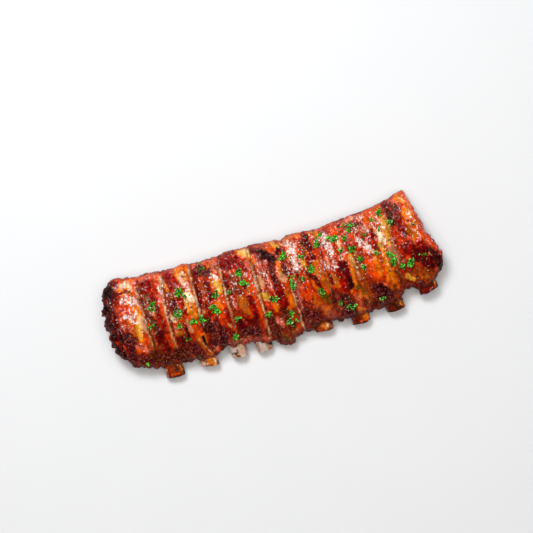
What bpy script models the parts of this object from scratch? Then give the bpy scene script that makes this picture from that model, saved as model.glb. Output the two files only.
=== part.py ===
"""A cooked rack of pork ribs that lies meat side up: one slab of meat with ten rib bones running through it.

Run it with: blender --background --python part.py
All lengths below are millimetres, and MM turns them into Blender's metres.
+X runs along the rack from its charred end to its cut end.
+Y runs from the bone stubs to the thick loin edge, and +Z is up.
"""

import math

import bmesh
import bpy
from mathutils import Matrix, Vector

MM = 0.001

# Ribs, from the charred end to the cut end: x of the bone's axis at the front and at the back,
# y of its sawn front end, half its width there, and x of the seam along its right side at the front
# and at the back. The first bone ends inside the meat.
RIBS = [
    (-112.0, -110.0, -27.0, 6.2, -103.5, -104.5),
    (-93.3, -93.0, -48.5, 7.7, -85.8, -84.4),
    (-65.8, -69.0, -49.0, 7.2, -61.0, -61.0),
    (-43.5, -46.0, -45.0, 6.4, -38.8, -38.6),
    (-21.0, -22.0, -46.0, 6.5, -14.8, -14.2),
    (-1.0, 1.0, -49.0, 6.8, 12.0, 8.5),
    (27.3, 28.5, -48.5, 7.6, 39.0, 39.5),
    (55.5, 53.5, -49.5, 7.9, 67.5, 60.0),
    (85.0, 86.5, -47.0, 7.6, 95.0, 95.5),
    (114.0, 106.5, -41.0, 8.0, 122.5, 115.0),
]
FRONT_Y = -42.0  # where a rib's front x is measured
BACK_Y = 34.0  # where its back x is measured

# Outline of the meat seen from above.
FRONT_EDGE = [
    (-124.0, -29.5),
    (-112.0, -36.0),
    (-100.0, -39.0),
    (-75.0, -40.0),
    (-58.0, -39.5),
    (-52.0, -36.5),
    (-42.0, -39.0),
    (-24.0, -40.0),
    (-3.0, -45.0),
    (12.0, -41.8),
    (30.0, -43.0),
    (45.0, -41.5),
    (76.0, -41.5),
    (88.0, -39.5),
    (97.0, -31.8),
    (105.0, -33.5),
    (116.0, -32.0),
    (128.0, -25.5),
]
BACK_EDGE = [
    (-129.0, 33.0),
    (-120.0, 38.0),
    (-108.0, 34.8),
    (-60.0, 32.8),
    (-30.0, 33.6),
    (10.0, 31.6),
    (45.0, 31.8),
    (75.0, 34.7),
    (100.0, 38.2),
    (115.0, 42.5),
]
# x of the two ends at shares of the way from the front edge to the back edge.
LEFT_END = [
    (0.0, -120.0),
    (0.08, -127.5),
    (0.2, -132.5),
    (0.4, -134.5),
    (0.7, -133.8),
    (0.92, -130.0),
    (1.0, -126.0),
]
RIGHT_END = [
    (0.0, 125.5),
    (0.09, 130.0),
    (0.2, 130.0),
    (0.48, 124.0),
    (0.75, 120.5),
    (0.92, 118.5),
    (1.0, 116.0),
]

# The bones follow an arch, and so does the slab around them.
ARCH_TOP_Z = 15.5
ARCH_TOP_Y = -5.0
ARCH_RADIUS = 86.0

BONE_HALF_WIDTH = 5.8
BONE_HALF_HEIGHT = 4.0
STUB_HALF_HEIGHT = 4.6
STUB_LENGTH = 16.0  # the stretch over which a bone flares to its sawn end
BONE_SET_BACK = 0.8  # from the loin edge to the bone's cut face
BONE_SIDES = 12
BONE_RINGS = 9
GAP = 0.3  # between the meat and a bone
TUNNEL_OVERRUN = 4.0  # how far the cut for a bone runs past the meat where the bone comes out
MERGE_DISTANCE = 0.01

# Meat above and below the bones' axes, at shares of the way from the front edge to the back edge.
TOP_COVER = [(0.0, 7.0), (0.25, 8.2), (0.55, 9.8), (0.8, 10.2), (1.0, 9.0)]
UNDER_COVER = [(0.0, 5.0), (0.55, 4.6), (0.8, 12.5), (1.0, 13.5)]
SWELL = [0.8, -0.6, 0.0, 0.5, -0.3, 0.9, 0.3, 0.6, -0.4, 0.7]  # how much each rib stands out above that
# Relief across one rib, from the seam on its left to the one on its right: a bulge of meat, then a band.
RIB_RELIEF = [
    (0.0, -1.0),
    (0.12, -1.2),
    (0.26, 0.1),
    (0.42, 1.5),
    (0.58, 1.1),
    (0.75, 0.2),
    (0.9, 0.5),
    (1.0, -1.0),
]
UNDER_BONE_RELIEF = 2.4  # how far the underside stands out under each bone
UNDER_BONE_REACH = 10.5
# Each edge of the slab: how far in its rounding reaches, and the share of the thickness that its wall keeps.
FRONT_ROUND = (7.0, 0.74)
BACK_ROUND = (6.0, 0.6)
LEFT_ROUND = (8.0, 0.35)
RIGHT_ROUND = (5.0, 0.6)

# Grid stations of the slab: shares across one rib, across the slab, and of the way in from each end.
RIB_STATIONS = [0.0, 0.1, 0.26, 0.42, 0.58, 0.75, 0.92]
END_STATIONS = [0.0, 0.045, 0.13, 0.22]
CROSS_STATIONS = [0.0, 0.025, 0.075, 0.15, 0.27, 0.4, 0.54, 0.67, 0.8, 0.9, 0.96, 1.0]

COLLECTION_NAME = "rack_of_ribs"
CUTTER_COLLECTION_NAME = "bone_cutters"


def smooth_step(share):
    share = min(1.0, max(0.0, share))
    return share * share * (3.0 - 2.0 * share)


def along(points, at):
    """The value at a place along (place, value) points, eased between neighbours."""
    if at <= points[0][0]:
        return points[0][1]
    for (left, low), (right, high) in zip(points, points[1:]):
        if at <= right:
            return low + (high - low) * smooth_step((at - left) / (right - left))
    return points[-1][1]


def rounded(distance, edge):
    """The share of the thickness at a distance from an edge: its wall, then up along a quarter ellipse."""
    radius, wall = edge
    inside = 1.0 - min(1.0, max(0.0, distance / radius))
    return wall + (1.0 - wall) * math.sqrt(1.0 - inside * inside)


def arch_height(y):
    return ARCH_TOP_Z - (y - ARCH_TOP_Y) ** 2 / (2.0 * ARCH_RADIUS)


def slanted(front_x, back_x, y):
    return front_x + (back_x - front_x) * (y - FRONT_Y) / (BACK_Y - FRONT_Y)


def bone_x(rib, y):
    front_x, back_x = RIBS[rib][:2]
    return slanted(front_x, back_x, y)


def cell_edges(rib, cross):
    """x of the seams on the left and right of a rib, at a share of the way from front to back."""
    y = FRONT_Y + (BACK_Y - FRONT_Y) * cross
    left = along(LEFT_END, cross) if rib == 0 else slanted(*RIBS[rib - 1][4:], y)
    right = along(RIGHT_END, cross) if rib == len(RIBS) - 1 else slanted(*RIBS[rib][4:], y)
    return left, right


def slab_point(rib, share, cross, upper):
    """A point of the meat's surface: share runs across one rib, cross from the front edge to the back."""
    left, right = cell_edges(rib, cross)
    x = left + (right - left) * share
    front, back = along(FRONT_EDGE, x), along(BACK_EDGE, x)
    y = front + (back - front) * cross
    rounding = (
        rounded(y - front, FRONT_ROUND)
        * rounded(back - y, BACK_ROUND)
        * rounded(x - along(LEFT_END, cross), LEFT_ROUND)
        * rounded(along(RIGHT_END, cross) - x, RIGHT_ROUND)
    )
    middle = arch_height(y)
    if upper:
        swell = SWELL[rib] * math.sin(math.pi * share)
        thickness = along(TOP_COVER, cross) + along(RIB_RELIEF, share) + swell
        return x, y, middle + thickness * rounding
    nearness = 1.0 - min(abs(x - bone_x(other, y)) for other in range(len(RIBS))) / UNDER_BONE_REACH
    thickness = along(UNDER_COVER, cross) + UNDER_BONE_RELIEF * smooth_step(nearness)
    return x, y, max(0.0, middle - thickness * rounding)


def rib_stations():
    """(rib, share) of every grid line that runs from front to back."""
    stations = []
    for rib in range(len(RIBS)):
        shares = set(RIB_STATIONS)
        if rib == 0:
            shares |= set(END_STATIONS)
        if rib == len(RIBS) - 1:
            shares |= {1.0 - share for share in END_STATIONS}
        stations += [(rib, share) for share in sorted(shares)]
    return stations


def shaped_grid(columns, rows, place):
    """A Blender grid whose vertex at column i and row j is moved to place(i, j), in millimetres."""
    grid = bmesh.new()
    bmesh.ops.create_grid(grid, x_segments=columns - 1, y_segments=rows - 1, size=1.0)
    for vertex in grid.verts:
        column = round((vertex.co.x + 1.0) / 2.0 * (columns - 1))
        row = round((vertex.co.y + 1.0) / 2.0 * (rows - 1))
        vertex.co = [value * MM for value in place(column, row)]
    return grid


def object_from(bm, name, collection, material=None):
    bmesh.ops.recalc_face_normals(bm, faces=bm.faces)
    mesh = bpy.data.meshes.new(name)
    bm.to_mesh(mesh)
    bm.free()
    mesh.shade_smooth()
    if material:
        mesh.materials.append(material)
    made = bpy.data.objects.new(name, mesh)
    collection.objects.link(made)
    return made


def make_slab(collection, material):
    """The meat before its bones are cut out: an upper and a lower sheet, and the wall between their rims."""
    stations = rib_stations()
    rows = len(CROSS_STATIONS)

    def sheet(upper):
        def place(column, row):
            return slab_point(*stations[column], CROSS_STATIONS[row], upper)

        return shaped_grid(len(stations), rows, place)

    slab = sheet(True)
    lower = sheet(False)
    lower_mesh = bpy.data.meshes.new("slab_lower")
    lower.to_mesh(lower_mesh)
    lower.free()
    slab.from_mesh(lower_mesh)
    bpy.data.meshes.remove(lower_mesh)
    bmesh.ops.bridge_loops(slab, edges=[edge for edge in slab.edges if edge.is_boundary])
    return object_from(slab, "meat", collection, material)


def bone_span(rib):
    """y of a bone's sawn front end and of its cut back end."""
    back_x = bone_x(rib, BACK_Y)
    return RIBS[rib][2], along(BACK_EDGE, back_x) - BONE_SET_BACK


def bone_section(rib, y, grow):
    """Half width and half height of a bone at y: it flares towards its sawn front end."""
    flare = smooth_step((RIBS[rib][2] + STUB_LENGTH - y) / STUB_LENGTH)
    half_width = BONE_HALF_WIDTH + (RIBS[rib][3] - BONE_HALF_WIDTH) * flare
    half_height = BONE_HALF_HEIGHT + (STUB_HALF_HEIGHT - BONE_HALF_HEIGHT) * flare
    return half_width + grow, half_height + grow


def make_bone(rib, name, collection, material=None, grow=0.0, front_extra=0.0, back_extra=0.0):
    """A curved bar along the arch with a flattened oval section, cut square at both ends."""
    front, back = bone_span(rib)
    rings = [back + (front - back) * ring / (BONE_RINGS - 1) for ring in range(BONE_RINGS)]
    if back_extra:
        rings.insert(0, back + back_extra)
    if front_extra:
        rings.append(front - front_extra)

    def place(i, j):
        angle = 2.0 * math.pi * i / BONE_SIDES
        y = rings[j]
        half_width, half_height = bone_section(rib, y, grow)
        lean = math.atan2(-(y - ARCH_TOP_Y), ARCH_RADIUS)
        lift = half_height * math.sin(angle)
        x = bone_x(rib, y) + half_width * math.cos(angle)
        return x, y - lift * math.sin(lean), max(0.0, arch_height(y) + lift * math.cos(lean))

    bone = shaped_grid(BONE_SIDES + 1, len(rings), place)
    bmesh.ops.remove_doubles(bone, verts=bone.verts, dist=MERGE_DISTANCE * MM)
    open_ends = [edge for edge in bone.edges if edge.is_boundary]
    bmesh.ops.holes_fill(bone, edges=open_ends, sides=BONE_SIDES)
    return object_from(bone, name, collection, material)


def make_material(name, colour, roughness, coat):
    material = bpy.data.materials.new(name)
    material.use_nodes = True
    shader = material.node_tree.nodes["Principled BSDF"]
    shader.inputs["Base Color"].default_value = (*colour, 1.0)
    shader.inputs["Roughness"].default_value = roughness
    shader.inputs["Coat Weight"].default_value = coat
    material.diffuse_color = (*colour, 1.0)
    return material


def make_collection(name):
    collection = bpy.data.collections.new(name)
    bpy.context.scene.collection.children.link(collection)
    return collection


def stand_at_origin(collections):
    """Moves everything so that the rack's box is centred on the origin and stands on z = 0."""
    depsgraph = bpy.context.evaluated_depsgraph_get()
    corners = []
    for made in collections[0].objects:
        corners += [Vector(corner) for corner in made.evaluated_get(depsgraph).bound_box]
    low = Vector([min(corner[axis] for corner in corners) for axis in range(3)])
    high = Vector([max(corner[axis] for corner in corners) for axis in range(3)])
    move = Matrix.Translation((-(low.x + high.x) / 2.0, -(low.y + high.y) / 2.0, -low.z))
    for collection in collections:
        for made in collection.objects:
            made.data.transform(move)


def main():
    for existing in list(bpy.data.objects):
        bpy.data.objects.remove(existing, do_unlink=True)
    rack = make_collection(COLLECTION_NAME)
    cutters = make_collection(CUTTER_COLLECTION_NAME)
    cutters.hide_render = True
    meat_material = make_material("glazed_meat", (0.30, 0.05, 0.02), 0.35, 0.6)
    bone_material = make_material("roasted_bone", (0.42, 0.17, 0.07), 0.5, 0.2)

    meat = make_slab(rack, meat_material)
    for rib in range(len(RIBS)):
        hidden_end = along(FRONT_EDGE, bone_x(rib, FRONT_Y)) < bone_span(rib)[0]
        make_bone(rib, f"bone_{rib + 1:02d}", rack, bone_material)
        tunnel = make_bone(
            rib,
            f"tunnel_{rib + 1:02d}",
            cutters,
            grow=GAP,
            front_extra=GAP if hidden_end else TUNNEL_OVERRUN,
            back_extra=TUNNEL_OVERRUN,
        )
        tunnel.hide_render = True
        tunnel.display_type = "WIRE"
        cut = meat.modifiers.new(tunnel.name, "BOOLEAN")
        cut.operation = "DIFFERENCE"
        cut.solver = "EXACT"
        cut.object = tunnel
    stand_at_origin([rack, cutters])


main()
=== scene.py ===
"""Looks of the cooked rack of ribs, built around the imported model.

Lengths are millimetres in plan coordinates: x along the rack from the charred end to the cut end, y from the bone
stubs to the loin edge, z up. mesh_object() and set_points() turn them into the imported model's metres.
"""

import math

import bmesh
import bpy
import numpy as np
from mathutils import Matrix, Vector
from mathutils.bvhtree import BVHTree

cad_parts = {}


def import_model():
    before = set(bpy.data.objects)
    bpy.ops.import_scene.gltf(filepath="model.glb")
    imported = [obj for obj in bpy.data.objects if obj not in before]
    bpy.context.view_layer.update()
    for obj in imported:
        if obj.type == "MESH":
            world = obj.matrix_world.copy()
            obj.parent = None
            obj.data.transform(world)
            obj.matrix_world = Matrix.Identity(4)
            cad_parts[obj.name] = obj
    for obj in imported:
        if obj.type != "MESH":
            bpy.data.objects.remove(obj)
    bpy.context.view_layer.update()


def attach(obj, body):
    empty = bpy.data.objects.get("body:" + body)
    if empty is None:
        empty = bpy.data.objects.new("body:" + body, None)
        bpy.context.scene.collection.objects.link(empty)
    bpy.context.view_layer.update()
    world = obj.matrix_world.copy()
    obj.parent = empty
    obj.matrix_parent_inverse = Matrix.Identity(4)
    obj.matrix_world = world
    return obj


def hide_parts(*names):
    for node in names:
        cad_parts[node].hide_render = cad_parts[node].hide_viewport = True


MM = 0.001
PLAN_TO_FRAME = (2.25, 4.55)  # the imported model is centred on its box, plan coordinates on the middle rib's seam
SEED = 11

# Ribs: x of the bone's axis at the front and at the back, y of its sawn end, half its width there.
RIBS = [
    (-112.0, -110.0, -27.0, 6.2),
    (-93.3, -93.0, -47.1, 7.4),
    (-65.8, -69.0, -46.4, 7.2),
    (-41.6, -46.0, -46.0, 6.2),
    (-21.4, -22.0, -47.0, 6.4),
    (-2.5, 1.0, -46.6, 6.4),
    (27.3, 28.5, -44.9, 7.4),
    (56.3, 53.5, -46.8, 7.4),
    (84.8, 86.5, -44.6, 7.4),
    (114.0, 106.5, -37.8, 7.8),
]
FRONT_Y = -42.0
BACK_Y = 34.0

# Outline of the meat in plan.
FRONT_EDGE = [
    (-132.0, -22.0), (-130.0, -25.0), (-124.0, -31.0), (-120.2, -32.7), (-112.9, -36.0), (-102.2, -38.6),
    (-93.0, -39.6), (-84.0, -39.2), (-80.8, -39.6), (-75.4, -39.9), (-66.0, -42.5), (-59.0, -41.5), (-55.0, -38.4),
    (-52.0, -36.8), (-47.8, -36.6), (-45.8, -39.6), (-34.8, -39.4), (-30.0, -38.8), (-24.7, -40.0), (-20.0, -41.6),
    (-15.0, -42.6), (-11.0, -43.0), (-8.7, -46.6), (-5.3, -48.9), (-1.3, -49.0), (1.3, -47.2), (3.8, -43.8),
    (8.8, -43.6), (11.6, -41.4), (14.0, -42.2), (18.7, -42.8), (27.0, -39.6), (35.0, -40.0), (38.5, -40.4),
    (41.0, -43.0), (44.0, -41.0), (50.0, -42.0), (64.0, -41.4), (68.3, -41.0), (75.0, -41.4), (79.0, -40.6),
    (86.0, -39.0), (90.6, -37.0), (92.4, -34.6), (97.1, -32.0), (101.8, -32.6), (105.2, -34.4), (112.0, -34.2),
    (118.6, -32.2), (120.6, -29.4), (122.6, -26.8), (125.5, -27.2), (128.5, -25.4), (131.0, -19.0),
]
BACK_EDGE = [
    (-133.0, 28.0), (-129.2, 32.8), (-126.9, 34.8), (-123.5, 36.6), (-119.5, 37.9), (-116.2, 37.2), (-112.9, 35.6),
    (-106.2, 34.5), (-99.5, 33.8), (-92.8, 34.7), (-82.8, 33.5), (-72.7, 33.0), (-66.1, 33.6), (-59.4, 32.5),
    (-52.7, 31.7), (-46.0, 32.2), (-38.1, 32.3), (-30.1, 33.8), (-22.1, 33.6), (-11.4, 33.2), (-1.3, 32.3),
    (8.7, 32.4), (12.7, 31.0), (18.7, 32.2), (26.1, 32.5), (34.9, 31.5), (48.3, 31.8), (58.3, 33.7), (63.6, 32.9),
    (68.3, 34.0), (81.7, 35.0), (91.7, 36.4), (101.8, 38.6), (108.4, 41.6), (114.5, 42.6), (118.0, 41.0),
]
# x of the two ends at shares of the way from the front edge to the back edge.
LEFT_END = [
    (0.0, -122.0), (0.05, -127.0), (0.11, -130.9), (0.2, -133.4), (0.28, -134.8), (0.35, -133.0), (0.42, -132.8),
    (0.5, -133.8), (0.58, -134.3), (0.64, -133.2), (0.7, -135.0), (0.76, -132.6), (0.84, -131.4), (0.91, -129.6),
    (0.96, -128.6), (1.0, -125.0),
]
RIGHT_END = [
    (0.0, 125.0), (0.06, 128.8), (0.14, 131.2), (0.21, 129.4), (0.3, 128.4), (0.37, 127.0), (0.5, 122.2),
    (0.6, 122.0), (0.68, 120.4), (0.83, 118.6), (0.94, 116.8), (1.0, 114.8),
]

# The bones follow an arch, and so does the slab around them.
ARCH_TOP_Z = 15.5
ARCH_TOP_Y = -5.0
ARCH_RADIUS = 86.0
BONE_HALF_WIDTH = 5.8
BONE_HALF_HEIGHT = 4.0
STUB_HALF_HEIGHT = 4.6
STUB_LENGTH = 16.0
TOP_COVER = [(0.0, 7.4), (0.25, 8.2), (0.55, 9.6), (0.8, 10.0), (1.0, 8.8)]
UNDER_COVER = [(0.0, 5.0), (0.5, 4.6), (0.68, 8.0), (0.8, 12.5), (1.0, 13.5)]
EDGE_RADIUS = 5.5
EDGE_SQUARENESS = 2.7

# Seams between the ribs: x at y = 32, 10, -10 and -40, and the stretch of y where the pale tissue shows.
SEAM_Y = (-40.0, -10.0, 10.0, 32.0)
SEAMS = [
    (-103.2, -104.4, -103.9, -105.2, -22.0, 26.0, 0.75),
    (-85.8, -87.0, -86.6, -83.6, -27.0, 30.0, 0.85),
    (-60.0, -62.2, -62.0, -60.8, -14.0, 31.0, 0.95),
    (-38.6, -38.9, -38.9, -38.4, -26.0, 25.0, 0.8),
    (-14.9, -14.3, -14.3, -14.0, -42.0, 20.0, 0.9),
    (11.9, 11.4, 10.6, 8.4, -43.0, -8.0, 1.1),
    (38.0, 39.4, 38.6, 37.0, -30.0, 10.0, 0.25),
    (67.0, 63.6, 60.8, 57.5, -38.0, 4.0, 0.25),
    (94.8, 95.2, 95.2, 95.0, -20.0, 30.0, 0.2),
]

# Colours that the surface is mixed from.
PALETTE = {
    "char": "1a0706",
    "purple": "4a1517",
    "maroon": "5a0c04",
    "deep": "7c1002",
    "red": "b0340c",
    "bright": "ce4402",
    "orange": "d4720e",
    "amber": "dca236",
    "cream": "e6cca4",
    "tan": "cc8c62",
    "brown": "76320e",
    "rust": "b05c10",
    "umber": "4c1c0c",
    "rose": "c86048",
    # painted sheen: the pinkish white of highlights where the glaze mirrors the light
    "painted_sheen": "e4c0b4",
    "olive": "5c4a10",
    # stub bone, pale but darkened to the tone of its shade: partly the bone's colour, partly painted shade
    "pale": "bca89c",
}

# Browning and painted sheen, streak by streak: x and y of its two ends, half its width, colour, strength.
STREAKS = [
    # charred end and first rib
    (-124.5, 34.0, -123.0, 26.0, 4.0, "char", 0.95), (-121.0, 37.0, -118.5, 32.0, 2.6, "maroon", 0.85),
    (-117.0, 36.0, -108.0, 34.0, 1.8, "red", 0.7), (-119.0, 31.0, -113.0, 28.5, 2.4, "painted_sheen", 0.8),
    (-111.0, 31.5, -109.0, 27.5, 2.4, "cream", 0.8), (-111.6, 27.0, -110.4, 24.6, 1.6, "orange", 0.8),
    (-121.0, 25.4, -112.0, 24.8, 1.7, "maroon", 0.95), (-122.5, 24.0, -121.0, 18.0, 2.8, "purple", 0.9),
    (-118.0, 20.0, -119.5, 10.0, 3.6, "red", 0.85), (-114.0, 19.0, -107.0, 17.0, 4.0, "painted_sheen", 0.95),
    (-113.5, 12.5, -112.0, 9.5, 2.6, "bright", 0.8), (-119.5, 8.0, -120.5, 3.0, 2.6, "bright", 0.75),
    (-107.8, 13.0, -107.6, 4.0, 1.9, "orange", 0.85), (-116.0, 6.0, -113.0, 1.0, 3.2, "painted_sheen", 0.95),
    (-121.0, 0.0, -115.0, -4.0, 2.4, "rose", 0.8), (-108.0, 3.0, -106.0, -5.0, 2.8, "cream", 0.7),
    (-110.4, -3.0, -109.8, -13.0, 2.4, "amber", 0.85), (-105.6, -2.0, -105.4, -9.0, 1.2, "tan", 0.7),
    (-120.0, -9.5, -119.0, -17.0, 5.6, "purple", 0.95), (-114.5, -18.5, -108.0, -22.0, 3.0, "rose", 0.8),
    (-107.0, -11.0, -106.6, -18.0, 1.8, "red", 0.7), (-122.0, -25.0, -108.0, -32.0, 4.4, "purple", 0.8),
    (-105.0, -28.0, -97.0, -35.0, 4.4, "umber", 0.8),
    # second rib
    (-102.0, 30.0, -101.0, 21.0, 1.5, "brown", 0.8), (-98.0, 31.6, -88.0, 30.6, 2.0, "rose", 0.9),
    (-96.0, 27.0, -93.0, 16.0, 4.6, "deep", 0.95), (-90.5, 27.0, -89.5, 16.0, 2.4, "red", 0.85),
    (-99.0, 18.0, -97.6, 13.0, 1.9, "olive", 0.8), (-101.0, 12.0, -99.0, 3.0, 2.8, "brown", 0.8),
    (-98.0, 6.0, -96.0, 3.5, 1.8, "tan", 0.6), (-91.5, 7.0, -91.0, -10.0, 3.0, "deep", 0.9),
    (-88.6, 6.0, -87.6, -25.0, 1.4, "bright", 0.95), (-98.0, -2.0, -96.0, -10.0, 2.4, "umber", 0.8),
    (-102.4, -8.0, -101.4, -22.0, 1.4, "olive", 0.7), (-102.0, -6.0, -101.8, -12.0, 1.2, "rust", 0.8),
    (-96.0, -14.0, -94.0, -24.0, 4.0, "maroon", 0.9), (-90.6, -12.0, -90.0, -23.0, 1.8, "red", 0.8),
    (-98.0, -31.0, -86.0, -32.0, 4.0, "umber", 0.85), (-87.0, 21.0, -86.6, 16.0, 1.1, "painted_sheen", 0.9),
    (-86.0, 9.0, -86.2, 4.0, 1.2, "orange", 0.7),
    # third rib
    (-84.0, 30.0, -83.0, 22.0, 1.5, "cream", 0.85), (-82.0, 21.0, -80.4, 17.0, 1.6, "orange", 0.85),
    (-78.6, 29.0, -75.0, 20.0, 4.0, "deep", 0.95), (-70.5, 30.0, -66.5, 24.0, 3.4, "orange", 0.85),
    (-68.6, 26.0, -65.6, 24.0, 2.2, "painted_sheen", 0.7), (-68.0, 20.5, -65.0, 14.0, 2.8, "painted_sheen", 0.85),
    (-81.0, 14.0, -80.0, 3.0, 3.0, "brown", 0.85), (-79.0, 9.0, -78.4, 2.0, 2.0, "maroon", 0.8),
    (-84.0, -3.0, -82.4, -5.6, 1.8, "cream", 0.8), (-78.4, 1.0, -77.6, -6.0, 2.4, "olive", 0.8),
    (-68.6, 10.0, -64.6, 5.0, 2.8, "cream", 1.0), (-69.8, 7.0, -69.4, -2.0, 1.4, "amber", 0.9),
    (-67.0, 1.0, -66.0, -7.0, 2.8, "orange", 0.95), (-72.6, 8.0, -72.2, -4.0, 1.6, "deep", 0.8),
    (-83.0, -16.0, -79.0, -17.6, 2.2, "rust", 0.95), (-83.0, -12.0, -82.4, -14.0, 1.2, "tan", 0.7),
    (-73.4, -10.0, -72.0, -18.0, 1.7, "tan", 0.85), (-68.0, -15.0, -65.6, -20.0, 2.6, "bright", 0.9),
    (-75.6, -14.0, -75.2, -24.0, 1.1, "char", 0.7), (-81.0, -22.0, -78.0, -27.0, 3.6, "maroon", 0.8),
    (-76.0, -30.0, -71.0, -36.0, 4.2, "purple", 0.8), (-68.6, -24.0, -66.4, -32.0, 1.8, "rust", 0.7),
    (-64.6, -24.0, -63.8, -30.6, 1.1, "char", 0.9), (-67.6, -25.0, -63.0, -36.0, 0.6, "tan", 0.8),
    (-84.0, -33.0, -80.0, -37.0, 3.0, "umber", 0.7),
    # fourth rib
    (-58.0, 31.0, -45.0, 30.4, 1.7, "rose", 0.8), (-58.6, 25.0, -57.6, 17.0, 2.2, "maroon", 0.85),
    (-53.6, 26.0, -47.0, 22.0, 3.8, "purple", 0.95), (-42.0, 31.0, -40.6, 23.0, 2.4, "rose", 0.85),
    (-45.6, 18.6, -42.0, 15.0, 2.4, "painted_sheen", 0.9), (-43.6, 13.0, -41.8, 6.0, 2.5, "amber", 0.95),
    (-59.6, 13.0, -58.6, 1.0, 2.0, "deep", 0.9), (-55.4, 15.0, -54.4, 7.0, 1.3, "rust", 0.85),
    (-51.0, 14.0, -50.0, 2.0, 2.8, "maroon", 0.9), (-43.6, 1.6, -41.6, -6.0, 2.6, "bright", 0.85),
    (-41.6, -9.0, -41.6, -18.0, 2.0, "deep", 0.85), (-60.6, -3.0, -58.8, -6.6, 1.6, "rust", 0.95),
    (-55.0, -2.0, -54.0, -10.0, 2.2, "deep", 0.8), (-46.8, -8.0, -46.0, -14.0, 1.8, "bright", 0.7),
    (-58.0, -18.0, -48.0, -27.0, 6.4, "purple", 1.0), (-43.0, -20.0, -41.6, -22.4, 1.2, "tan", 0.8),
    (-44.0, -25.0, -43.6, -30.0, 2.2, "deep", 0.7), (-59.0, -36.0, -56.0, -36.6, 1.6, "rose", 0.8),
    (-46.0, -35.0, -34.0, -36.0, 2.6, "rose", 0.7), (-45.0, -39.4, -29.0, -39.4, 1.2, "tan", 0.7), (-58.0, -30.0, -50.0, -33.0, 3.0, "purple", 0.8),
    # fifth rib
    (-36.0, 31.6, -24.0, 31.6, 1.7, "purple", 0.7), (-33.0, 26.0, -26.0, 22.0, 4.4, "deep", 0.9),
    (-19.0, 31.0, -14.0, 27.0, 3.0, "amber", 0.9), (-16.6, 30.6, -14.0, 30.0, 2.0, "cream", 0.7),
    (-22.6, 26.0, -20.0, 18.0, 2.2, "deep", 0.9), (-17.6, 21.0, -16.8, 14.0, 1.5, "rose", 0.9),
    (-36.6, 16.0, -35.6, 8.0, 1.9, "maroon", 0.7), (-31.0, 13.0, -29.0, 3.0, 3.0, "brown", 0.85),
    (-24.6, 16.0, -23.0, 4.0, 2.0, "umber", 0.7), (-18.6, 12.0, -17.6, -8.0, 2.2, "bright", 0.95),
    (-36.0, -3.0, -34.0, -8.0, 2.4, "painted_sheen", 0.6), (-28.6, -3.0, -26.4, -14.0, 3.0, "rust", 0.85),
    (-22.0, -6.0, -19.6, -21.0, 2.8, "deep", 0.95), (-16.8, -10.0, -16.6, -30.0, 1.2, "bright", 0.8),
    (-34.0, -12.0, -32.0, -17.0, 2.4, "red", 0.7), (-33.0, -23.0, -24.0, -24.0, 4.0, "maroon", 0.85),
    (-32.0, -29.0, -22.0, -31.0, 4.2, "purple", 0.95), (-36.0, -37.4, -18.0, -39.6, 2.6, "rose", 0.6),
    (-19.0, -25.0, -18.0, -34.0, 1.6, "red", 0.7),
    # sixth rib
    (-10.0, 30.0, -4.0, 27.0, 2.6, "purple", 0.9), (-4.6, 26.0, 3.4, 18.0, 3.0, "char", 0.85),
    (-10.0, 22.0, -7.6, 11.0, 3.2, "rose", 0.9), (-12.0, 24.0, -11.4, 13.0, 1.4, "orange", 0.8),
    (-11.0, 7.4, -10.0, 1.6, 3.0, "tan", 1.0), (0.6, 15.0, 0.8, -3.0, 2.8, "purple", 0.9),
    (-5.4, 8.0, -3.6, -3.0, 1.9, "painted_sheen", 0.8), (-12.4, -6.0, -8.0, -10.0, 2.8, "amber", 1.0),
    (6.6, 30.6, 9.6, 27.0, 2.8, "amber", 0.9), (9.6, 24.0, 7.4, 21.6, 1.6, "char", 0.9),
    (5.4, 15.0, 5.8, 7.0, 1.5, "orange", 0.85), (9.6, 13.0, 9.4, 6.0, 1.9, "brown", 0.9),
    (5.4, 5.0, 8.4, 1.0, 2.4, "cream", 0.6), (1.6, -5.0, 2.6, -18.0, 3.8, "deep", 0.95),
    (-11.0, -14.0, -8.0, -18.0, 2.0, "red", 0.9), (-4.6, -14.0, -4.0, -20.0, 1.8, "orange", 0.7),
    (-6.0, -29.0, -3.4, -31.0, 3.0, "rose", 0.95), (-11.0, -26.0, -8.0, -40.0, 3.0, "umber", 0.8),
    (3.0, -24.0, 2.6, -38.0, 3.0, "umber", 0.75), (8.6, -12.0, 9.0, -20.0, 1.7, "orange", 0.85),
    (8.6, -26.0, 8.8, -40.0, 2.2, "red", 0.6), (3.6, -40.0, 3.6, -46.0, 1.9, "rust", 0.85),
    (-4.0, -43.0, -1.0, -46.4, 2.0, "olive", 0.7),
    # seventh rib
    (13.0, 31.4, 30.0, 32.0, 1.4, "orange", 0.7), (16.0, 27.0, 23.0, 24.0, 3.0, "painted_sheen", 0.85),
    (19.0, 21.0, 19.6, 6.0, 4.0, "painted_sheen", 1.0), (15.2, 17.0, 15.4, 14.0, 1.5, "orange", 0.9),
    (25.4, 12.0, 25.8, 5.6, 1.5, "amber", 0.95), (29.0, 24.0, 28.4, 17.0, 2.8, "brown", 0.85),
    (31.6, 28.0, 34.6, 12.0, 2.8, "maroon", 0.95), (29.0, 12.0, 30.0, 6.0, 1.8, "deep", 0.8),
    (32.6, 5.0, 39.0, -14.0, 2.4, "rust", 0.95), (27.0, 0.0, 32.0, -11.0, 1.9, "maroon", 0.85),
    (16.0, -4.0, 17.0, -10.0, 2.6, "rose", 0.85), (24.0, -4.0, 24.0, -12.0, 1.8, "bright", 0.75),
    (18.0, -12.0, 21.0, -18.0, 2.6, "bright", 0.7), (14.6, -14.0, 14.6, -26.0, 1.8, "rose", 0.85),
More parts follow.
